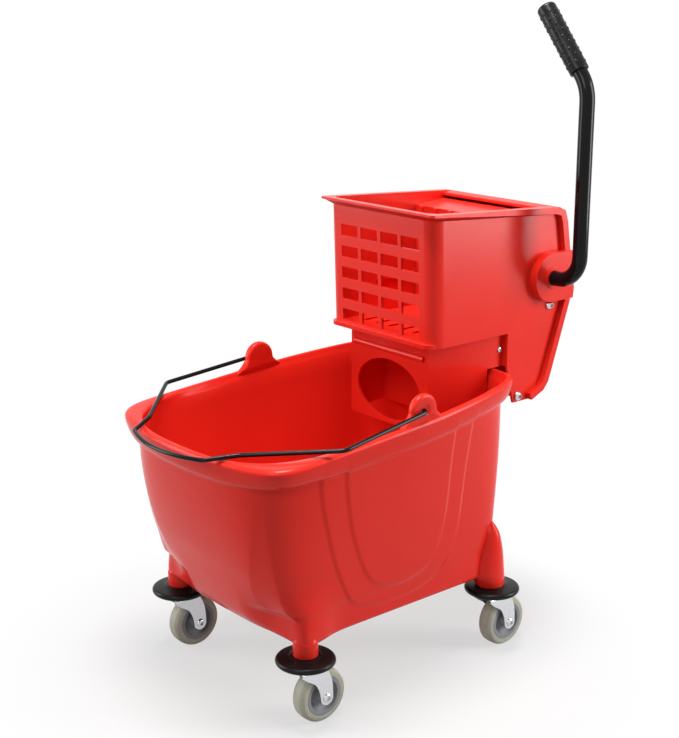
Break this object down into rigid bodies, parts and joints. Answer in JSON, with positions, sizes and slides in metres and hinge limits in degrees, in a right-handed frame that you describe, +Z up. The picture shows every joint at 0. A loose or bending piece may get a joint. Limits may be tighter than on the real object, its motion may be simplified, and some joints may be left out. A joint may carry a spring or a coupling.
{
  "type": "side press mop wringer with wheeled bucket",
  "caption": "Wheeled mop bucket with a bail and swivel casters; a lift-off side-press wringer on its rear wall has a lever handle that drives a press plate.",
  "frame": {"origin": "on the floor, under the middle of the bucket's rim", "axes": "+X towards the side with the handle, +Y towards the rear with the wringer, +Z up"},
  "size_m": [0.4046, 0.6624, 0.927],
  "materials": {
    "bucket_red": "smooth moulded plastic with a soft gloss",
    "wringer_red": "smooth moulded plastic with a soft gloss",
    "bail_black": "glossy black coating on wire",
    "tube_black": "glossy black coating on steel tube",
    "grip_rubber": "matt black rubber with raised dots",
    "bush_black": "black plastic",
    "bumper_black": "black plastic with a soft gloss",
    "fork_zinc": "bright zinc-plated sheet steel",
    "bolt_chrome": "bright plated steel",
    "crank_steel": "plain steel plate",
    "sleeve_nylon": "off-white nylon",
    "hub_grey": "grey plastic",
    "tyre_grey": "grey-green non-marking rubber"
  },
  "bodies": {
    "bucket": {"bucket": "bucket_red", "caster_stem_fl": "fork_zinc", "caster_stem_fr": "fork_zinc", "caster_stem_rl": "fork_zinc", "caster_stem_rr": "fork_zinc", "bumper_fl": "bumper_black", "bumper_fr": "bumper_black", "bumper_rl": "bumper_black", "bumper_rr": "bumper_black"},
    "bail": {"bail": "bail_black"},
    "swivel_fl": {"caster_fork_fl": "fork_zinc", "wheel_axle_fl": "bolt_chrome"},
    "wheel_fl": {"wheel_hub_fl": "hub_grey", "tyre_fl": "tyre_grey"},
    "swivel_fr": {"caster_fork_fr": "fork_zinc", "wheel_axle_fr": "bolt_chrome"},
    "wheel_fr": {"wheel_hub_fr": "hub_grey", "tyre_fr": "tyre_grey"},
    "swivel_rl": {"caster_fork_rl": "fork_zinc", "wheel_axle_rl": "bolt_chrome"},
    "wheel_rl": {"wheel_hub_rl": "hub_grey", "tyre_rl": "tyre_grey"},
    "swivel_rr": {"caster_fork_rr": "fork_zinc", "wheel_axle_rr": "bolt_chrome"},
    "wheel_rr": {"wheel_hub_rr": "hub_grey", "tyre_rr": "tyre_grey"},
    "wringer": {"wringer_housing": "wringer_red", "rear_cover": "wringer_red", "axle_bush_left": "wringer_red", "axle_bush_right": "wringer_red", "upper_tie_rod": "bolt_chrome", "lower_tie_rod": "bolt_chrome", "side_screw_left": "bolt_chrome", "side_screw_right": "bolt_chrome"},
    "handle": {"handle_tube": "tube_black", "hand_grip": "grip_rubber", "axle_end_cap": "bush_black", "crank_arm_left": "crank_steel", "crank_arm_right": "crank_steel", "pin_sleeve_left": "sleeve_nylon", "pin_sleeve_right": "sleeve_nylon"},
    "press": {"press_plate": "wringer_red"}
  },
  "joints": [
    {"name": "bail_swing", "type": "hinge", "parent": "bucket", "child": "bail", "pos_m": [0, 0.028, 0.41015], "axis": [-1, 0, 0], "range_deg": [0, 105]},
    {"name": "swivel_fl", "type": "hinge", "parent": "bucket", "child": "swivel_fl", "pos_m": [-0.147, -0.147, 0.0871], "axis": [0, 0, 1], "continuous": true},
    {"name": "wheel_fl", "type": "hinge", "parent": "swivel_fl", "child": "wheel_fl", "pos_m": [-0.147, -0.125, 0.0381], "axis": [1, 0, 0], "continuous": true},
    {"name": "swivel_fr", "type": "hinge", "parent": "bucket", "child": "swivel_fr", "pos_m": [0.147, -0.147, 0.0871], "axis": [0, 0, 1], "continuous": true},
    {"name": "wheel_fr", "type": "hinge", "parent": "swivel_fr", "child": "wheel_fr", "pos_m": [0.147, -0.125, 0.0381], "axis": [1, 0, 0], "continuous": true},
    {"name": "swivel_rl", "type": "hinge", "parent": "bucket", "child": "swivel_rl", "pos_m": [-0.147, 0.205, 0.0871], "axis": [0, 0, 1], "continuous": true},
    {"name": "wheel_rl", "type": "hinge", "parent": "swivel_rl", "child": "wheel_rl", "pos_m": [-0.147, 0.227, 0.0381], "axis": [1, 0, 0], "continuous": true},
    {"name": "swivel_rr", "type": "hinge", "parent": "bucket", "child": "swivel_rr", "pos_m": [0.147, 0.205, 0.0871], "axis": [0, 0, 1], "continuous": true},
    {"name": "wheel_rr", "type": "hinge", "parent": "swivel_rr", "child": "wheel_rr", "pos_m": [0.147, 0.227, 0.0381], "axis": [1, 0, 0], "continuous": true},
    {"name": "wringer_lift", "type": "slide", "parent": "bucket", "child": "wringer", "axis": [0, 0, 1], "range_m": [0, 0.15]},
    {"name": "handle_swing", "type": "hinge", "parent": "wringer", "child": "handle", "pos_m": [0, 0.34, 0.537], "axis": [1, 0, 0], "range_deg": [0, 75]},
    {"name": "press_slide", "type": "slide", "parent": "wringer", "child": "press", "axis": [0, -1, 0], "range_m": [0, 0.0815]}
  ],
  "couplings": [
    {"joint": "press_slide", "follows": "handle_swing", "m_per_rad": 0.061877}
  ]
}
